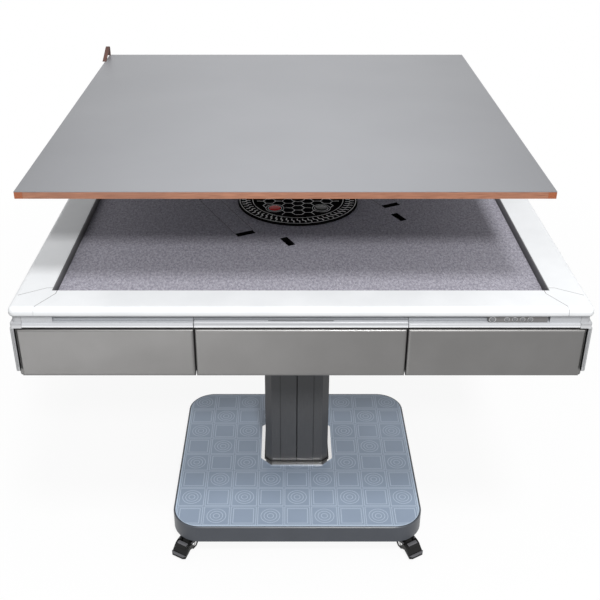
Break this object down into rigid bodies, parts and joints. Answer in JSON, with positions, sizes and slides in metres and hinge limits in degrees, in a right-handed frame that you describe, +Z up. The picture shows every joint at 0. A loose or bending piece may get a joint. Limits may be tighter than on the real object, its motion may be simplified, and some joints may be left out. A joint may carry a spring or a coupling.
{
  "type": "automatic mahjong table",
  "caption": "Square automatic mahjong table with drawers on every side, a folding head on a column, a wheeled base and a lift-off cover board.",
  "frame": {"origin": "on the floor under the centre of the square table top", "axes": "+Z up, +X to the right and -Y towards the viewer of the pictured side with the control strip"},
  "size_m": [0.978, 0.978, 0.9907],
  "materials": {
    "frame_white": "gloss",
    "liner_black": "matt",
    "skirt_pale": "semi-gloss",
    "post_silver": "ribbed satin",
    "drawer_grey": "gloss",
    "chassis_steel": "matt",
    "felt_grey": "felt covered board",
    "lift_felt": "felt covered",
    "disc_black": "gloss",
    "button_red": "gloss",
    "key_grey": "satin",
    "steel": "brushed",
    "motor_grey": "matt",
    "shuffle_plastic": "matt",
    "column_grey": "satin",
    "collar_bright": "bright",
    "base_dark": "satin",
    "base_blue_grey": "patterned gloss",
    "caster_black": "satin",
    "wheel_rubber": "matt",
    "cover_laminate": "semi-gloss laminate",
    "edging_wood": "oiled",
    "strap_leather": "satin"
  },
  "bodies": {
    "base": {"base_shell": "base_dark", "base_top_panel": "base_blue_grey", "column_collar": "collar_bright", "column_left_shell": "column_grey", "column_right_shell": "column_grey", "column_post": "steel", "column_bolts": "steel", "fold_bracket": "chassis_steel", "fold_pin": "steel"},
    "head": {"head_cradle": "chassis_steel", "chassis_pan": "chassis_steel", "frame_rails": "frame_white", "frame_corners": "frame_white", "recess_liner": "liner_black", "skirt_bands": "skirt_pale", "corner_posts": "post_silver", "play_board": "felt_grey", "drawer_runners": "chassis_steel", "lift_housing": "steel", "shuffle_motor": "motor_grey", "control_panel": "disc_black"},
    "cover": {"cover_board": "cover_laminate", "cover_edging": "edging_wood", "cover_strap": "strap_leather"},
    "tile_lift": {"tile_lift": "lift_felt"},
    "centre_disc": {"centre_disc": "disc_black"},
    "shuffle_disc": {"shuffle_disc": "shuffle_plastic"},
    "disc_button_1": {"disc_button_1": "button_red"},
    "disc_button_2": {"disc_button_2": "disc_black"},
    "disc_button_3": {"disc_button_3": "button_red"},
    "disc_button_4": {"disc_button_4": "disc_black"},
    "power_button": {"power_button": "key_grey"},
    "key_1": {"key_1": "key_grey"},
    "key_2": {"key_2": "key_grey"},
    "key_3": {"key_3": "key_grey"},
    "key_4": {"key_4": "key_grey"},
    "drawer_front_a": {"drawer_front_a": "drawer_grey"},
    "drawer_front_b": {"drawer_front_b": "drawer_grey"},
    "drawer_front_c": {"drawer_front_c": "drawer_grey"},
    "drawer_right_a": {"drawer_right_a": "drawer_grey"},
    "drawer_right_b": {"drawer_right_b": "drawer_grey"},
    "drawer_right_c": {"drawer_right_c": "drawer_grey"},
    "drawer_back_a": {"drawer_back_a": "drawer_grey"},
    "drawer_back_b": {"drawer_back_b": "drawer_grey"},
    "drawer_back_c": {"drawer_back_c": "drawer_grey"},
    "drawer_left_a": {"drawer_left_a": "drawer_grey"},
    "drawer_left_b": {"drawer_left_b": "drawer_grey"},
    "drawer_left_c": {"drawer_left_c": "drawer_grey"},
    "caster_fork_1": {"caster_fork_1": "caster_black"},
    "caster_wheel_1": {"caster_wheel_1": "wheel_rubber"},
    "caster_pedal_1": {"caster_pedal_1": "caster_black"},
    "caster_fork_2": {"caster_fork_2": "caster_black"},
    "caster_wheel_2": {"caster_wheel_2": "wheel_rubber"},
    "caster_pedal_2": {"caster_pedal_2": "caster_black"},
    "caster_fork_3": {"caster_fork_3": "caster_black"},
    "caster_wheel_3": {"caster_wheel_3": "wheel_rubber"},
    "caster_pedal_3": {"caster_pedal_3": "caster_black"},
    "caster_fork_4": {"caster_fork_4": "caster_black"},
    "caster_wheel_4": {"caster_wheel_4": "wheel_rubber"},
    "caster_pedal_4": {"caster_pedal_4": "caster_black"}
  },
  "joints": [
    {"name": "head_fold", "type": "hinge", "parent": "base", "child": "head", "pos_m": [0, -0.095, 0.5875], "axis": [-1, 0, 0], "range_deg": [-90, 0]},
    {"name": "cover_lift", "type": "slide", "parent": "head", "child": "cover", "axis": [-0.1198, -0.281, 0.9522], "range_m": [-0.2169, 0]},
    {"name": "tile_lift_raise", "type": "slide", "parent": "head", "child": "tile_lift", "axis": [0, 0, 1], "range_m": [-0.045, 0]},
    {"name": "centre_disc_lift", "type": "slide", "parent": "head", "child": "centre_disc", "axis": [0, 0, 1], "range_m": [0, 0.05]},
    {"name": "shuffle_spin", "type": "hinge", "parent": "head", "child": "shuffle_disc", "pos_m": [0, 0, 0.694], "axis": [0, 0, 1], "continuous": true},
    {"name": "disc_button_1_press", "type": "slide", "parent": "centre_disc", "child": "disc_button_1", "axis": [0, 0, -1], "range_m": [0, 0.0018], "stiffness_N_per_m": 300},
    {"name": "disc_button_2_press", "type": "slide", "parent": "centre_disc", "child": "disc_button_2", "axis": [0, 0, -1], "range_m": [0, 0.0018], "stiffness_N_per_m": 300},
    {"name": "disc_button_3_press", "type": "slide", "parent": "centre_disc", "child": "disc_button_3", "axis": [0, 0, -1], "range_m": [0, 0.0018], "stiffness_N_per_m": 300},
    {"name": "disc_button_4_press", "type": "slide", "parent": "centre_disc", "child": "disc_button_4", "axis": [0, 0, -1], "range_m": [0, 0.0018], "stiffness_N_per_m": 300},
    {"name": "power_button_press", "type": "slide", "parent": "head", "child": "power_button", "axis": [0, 1, 0], "range_m": [0, 0.0011], "stiffness_N_per_m": 300},
    {"name": "key_1_press", "type": "slide", "parent": "head", "child": "key_1", "axis": [0, 1, 0], "range_m": [0, 0.0011], "stiffness_N_per_m": 300},
    {"name": "key_2_press", "type": "slide", "parent": "head", "child": "key_2", "axis": [0, 1, 0], "range_m": [0, 0.0011], "stiffness_N_per_m": 300},
    {"name": "key_3_press", "type": "slide", "parent": "head", "child": "key_3", "axis": [0, 1, 0], "range_m": [0, 0.0011], "stiffness_N_per_m": 300},
    {"name": "key_4_press", "type": "slide", "parent": "head", "child": "key_4", "axis": [0, 1, 0], "range_m": [0, 0.0011], "stiffness_N_per_m": 300},
    {"name": "drawer_front_a_slide", "type": "slide", "parent": "head", "child": "drawer_front_a", "axis": [0, -1, 0], "range_m": [0, 0.1]},
    {"name": "drawer_front_b_slide", "type": "slide", "parent": "head", "child": "drawer_front_b", "axis": [0, -1, 0], "range_m": [0, 0.1]},
    {"name": "drawer_front_c_slide", "type": "slide", "parent": "head", "child": "drawer_front_c", "axis": [0, -1, 0], "range_m": [0, 0.1]},
    {"name": "drawer_right_a_slide", "type": "slide", "parent": "head", "child": "drawer_right_a", "axis": [1, 0, 0], "range_m": [0, 0.1]},
    {"name": "drawer_right_b_slide", "type": "slide", "parent": "head", "child": "drawer_right_b", "axis": [1, 0, 0], "range_m": [0, 0.1]},
    {"name": "drawer_right_c_slide", "type": "slide", "parent": "head", "child": "drawer_right_c", "axis": [1, 0, 0], "range_m": [0, 0.1]},
    {"name": "drawer_back_a_slide", "type": "slide", "parent": "head", "child": "drawer_back_a", "axis": [0, 1, 0], "range_m": [0, 0.1]},
    {"name": "drawer_back_b_slide", "type": "slide", "parent": "head", "child": "drawer_back_b", "axis": [0, 1, 0], "range_m": [0, 0.1]},
    {"name": "drawer_back_c_slide", "type": "slide", "parent": "head", "child": "drawer_back_c", "axis": [0, 1, 0], "range_m": [0, 0.1]},
    {"name": "drawer_left_a_slide", "type": "slide", "parent": "head", "child": "drawer_left_a", "axis": [-1, 0, 0], "range_m": [0, 0.1]},
    {"name": "drawer_left_b_slide", "type": "slide", "parent": "head", "child": "drawer_left_b", "axis": [-1, 0, 0], "range_m": [0, 0.1]},
    {"name": "drawer_left_c_slide", "type": "slide", "parent": "head", "child": "drawer_left_c", "axis": [-1, 0, 0], "range_m": [0, 0.1]},
    {"name": "caster_swivel_1", "type": "hinge", "parent": "base", "child": "caster_fork_1", "pos_m": [-0.236, -0.248, 0.0465], "axis": [0, 0, 1], "continuous": true},
    {"name": "caster_roll_1", "type": "hinge", "parent": "caster_fork_1", "child": "caster_wheel_1", "pos_m": [-0.2445, -0.26272, 0.02], "axis": [0.866, -0.5, 0], "continuous": true},
    {"name": "caster_brake_1", "type": "hinge", "parent": "caster_fork_1", "child": "caster_pedal_1", "pos_m": [-0.2495, -0.27138, 0.029], "axis": [0.866, -0.5, 0], "range_deg": [0, 8]},
    {"name": "caster_swivel_2", "type": "hinge", "parent": "base", "child": "caster_fork_2", "pos_m": [0.236, -0.248, 0.0465], "axis": [0, 0, 1], "continuous": true},
    {"name": "caster_roll_2", "type": "hinge", "parent": "caster_fork_2", "child": "caster_wheel_2", "pos_m": [0.2445, -0.26272, 0.02], "axis": [0.866, 0.5, 0], "continuous": true},
    {"name": "caster_brake_2", "type": "hinge", "parent": "caster_fork_2", "child": "caster_pedal_2", "pos_m": [0.2495, -0.27138, 0.029], "axis": [0.866, 0.5, 0], "range_deg": [0, 8]},
    {"name": "caster_swivel_3", "type": "hinge", "parent": "base", "child": "caster_fork_3", "pos_m": [0.236, 0.162, 0.0465], "axis": [0, 0, 1], "continuous": true},
    {"name": "caster_roll_3", "type": "hinge", "parent": "caster_fork_3", "child": "caster_wheel_3", "pos_m": [0.2445, 0.17672, 0.02], "axis": [-0.866, 0.5, 0], "continuous": true},
    {"name": "caster_brake_3", "type": "hinge", "parent": "caster_fork_3", "child": "caster_pedal_3", "pos_m": [0.2495, 0.18538, 0.029], "axis": [-0.866, 0.5, 0], "range_deg": [0, 8]},
    {"name": "caster_swivel_4", "type": "hinge", "parent": "base", "child": "caster_fork_4", "pos_m": [-0.236, 0.162, 0.0465], "axis": [0, 0, 1], "continuous": true},
    {"name": "caster_roll_4", "type": "hinge", "parent": "caster_fork_4", "child": "caster_wheel_4", "pos_m": [-0.2445, 0.17672, 0.02], "axis": [-0.866, -0.5, 0], "continuous": true},
    {"name": "caster_brake_4", "type": "hinge", "parent": "caster_fork_4", "child": "caster_pedal_4", "pos_m": [-0.2495, 0.18538, 0.029], "axis": [-0.866, -0.5, 0], "range_deg": [0, 8]}
  ]
}
